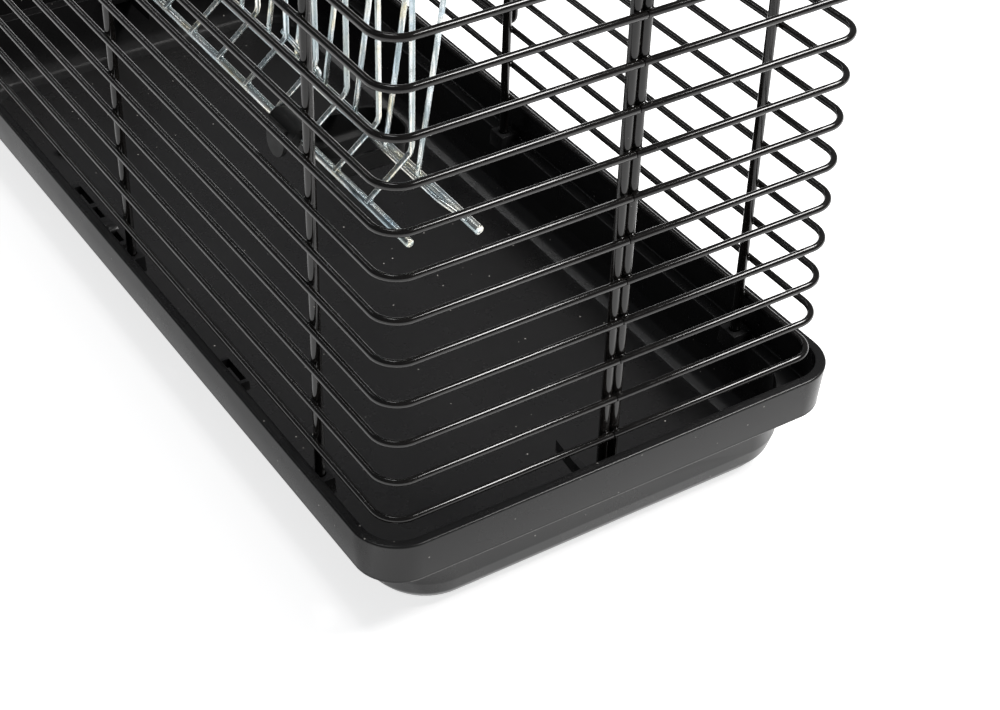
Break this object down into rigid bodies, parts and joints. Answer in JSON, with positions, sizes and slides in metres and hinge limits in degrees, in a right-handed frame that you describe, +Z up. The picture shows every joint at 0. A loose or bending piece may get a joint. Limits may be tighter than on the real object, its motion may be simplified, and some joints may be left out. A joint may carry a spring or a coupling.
{
  "type": "wire rabbit cage",
  "caption": "Deep black plastic tray with a clip-together black wire cage on it, a lift-up roof door, a side door, and a zinc hay rack with a small clip-on feed dish",
  "frame": {"origin": "centre of the tray's outline, on the surface the tray stands on", "axes": "+Z up; Y along the tray's long side; X across; the hay rack hangs on the -X side and the side door is on the +X side; the tray is centred"},
  "size_m": [0.3, 0.645, 0.3974],
  "materials": {
    "black_plastic_tray": "moulded black plastic, satin",
    "black_wire": "gloss black coated steel wire",
    "black_strip": "black coated steel strip",
    "zinc_wire": "bright zinc plated wire with a faint yellow cast",
    "black_plastic_dish": "matt black plastic"
  },
  "bodies": {
    "tray": {"tray": "black_plastic_tray"},
    "cage_top": {"left_near_end_grille": "black_wire", "left_far_end_grille": "black_wire", "left_side_grille": "black_wire", "right_near_end_grille": "black_wire", "right_far_end_grille": "black_wire", "right_side_grille": "black_wire", "right_door_side_grille": "black_wire", "roof_grille": "black_wire", "roof_door_side_grille": "black_wire", "near_end_band_upper": "black_strip", "near_end_band_lower": "black_strip", "far_end_band_upper": "black_strip", "far_end_band_lower": "black_strip", "roof_band_left_near": "black_strip", "roof_band_left_far": "black_strip", "roof_band_right_near": "black_strip", "roof_band_right_far": "black_strip", "roof_end_band_left_near": "black_strip", "roof_end_band_left_far": "black_strip", "roof_end_band_right_near": "black_strip", "roof_end_band_right_far": "black_strip", "side_door_hinge_lower": "black_strip", "side_door_hinge_upper": "black_strip", "roof_door_hinge_left": "black_strip", "roof_door_hinge_right": "black_strip"},
    "side_door": {"side_door": "black_wire"},
    "side_latch": {"side_door_latch": "black_strip"},
    "roof_door": {"roof_door": "black_wire"},
    "roof_latch": {"roof_door_latch": "black_strip"},
    "rack_back": {"hay_rack_back_grid": "zinc_wire"},
    "rack_front": {"hay_rack_front_grid": "zinc_wire"},
    "dish": {"feed_dish": "black_plastic_dish"}
  },
  "joints": [
    {"name": "cage_lifts_off_tray", "type": "slide", "parent": "tray", "child": "cage_top", "axis": [0, 0, 1], "range_m": [0, 0.15]},
    {"name": "side_door_hinge", "type": "hinge", "parent": "cage_top", "child": "side_door", "pos_m": [0.1418, 0.004, 0.2175], "axis": [0, 0, -1], "range_deg": [0, 165]},
    {"name": "side_door_latch_turn", "type": "hinge", "parent": "side_door", "child": "side_latch", "pos_m": [0.1418, 0.2285, 0.2175], "axis": [0, 0, 1], "range_deg": [-80, 0]},
    {"name": "roof_door_hinge", "type": "hinge", "parent": "cage_top", "child": "roof_door", "pos_m": [0, 0.008, 0.3887], "axis": [1, 0, 0], "range_deg": [0, 135]},
    {"name": "roof_door_latch_turn", "type": "hinge", "parent": "roof_door", "child": "roof_latch", "pos_m": [0, 0.2245, 0.3887], "axis": [1, 0, 0], "range_deg": [0, 80]},
    {"name": "rack_lifts_off_wire", "type": "slide", "parent": "cage_top", "child": "rack_back", "axis": [0, 0, 1], "range_m": [0, 0.012]},
    {"name": "rack_front_folds_in", "type": "hinge", "parent": "rack_back", "child": "rack_front", "pos_m": [-0.07675, 0, 0.22875], "axis": [0, 1, 0], "range_deg": [-8, 0]},
    {"name": "dish_tips_on_rod", "type": "hinge", "parent": "rack_back", "child": "dish", "pos_m": [-0.115, -0.17955, 0.235], "axis": [0, 1, 0], "range_deg": [0, 45]}
  ]
}
